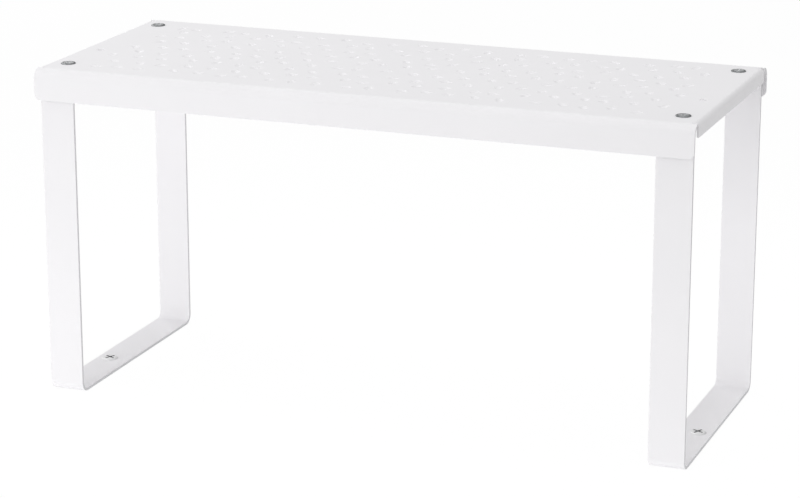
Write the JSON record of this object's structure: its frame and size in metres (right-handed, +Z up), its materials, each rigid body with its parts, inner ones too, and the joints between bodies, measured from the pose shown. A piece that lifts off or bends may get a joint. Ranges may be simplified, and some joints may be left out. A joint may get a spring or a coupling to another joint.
{
  "type": "cabinet shelf",
  "caption": "Free-standing cabinet shelf insert: a folded, dimpled sheet steel top screwed to two legs of bent flat strip, adding a second storage level.",
  "frame": {"origin": "centre of the footprint, on the surface that the bottom bars stand on", "axes": "+X along the shelf to the right as seen from the front, +Y to the back, +Z up"},
  "size_m": [0.32, 0.13, 0.1606],
  "materials": {
    "white_powder_coat": "white powder coat on steel, satin",
    "zinc_plate": "bright zinc plate",
    "nut_steel": "plain zinc plated steel",
    "white_plastic": "moulded white plastic"
  },
  "bodies": {
    "root": {"shelf_top": "white_powder_coat", "left_leg": "white_powder_coat", "right_leg": "white_powder_coat", "front_left_screw": "zinc_plate", "front_right_screw": "zinc_plate", "rear_left_screw": "zinc_plate", "rear_right_screw": "zinc_plate", "front_left_nut": "nut_steel", "front_right_nut": "nut_steel", "rear_left_nut": "nut_steel", "rear_right_nut": "nut_steel", "left_bar_plug": "white_plastic", "right_bar_plug": "white_plastic"}
  },
  "joints": []
}
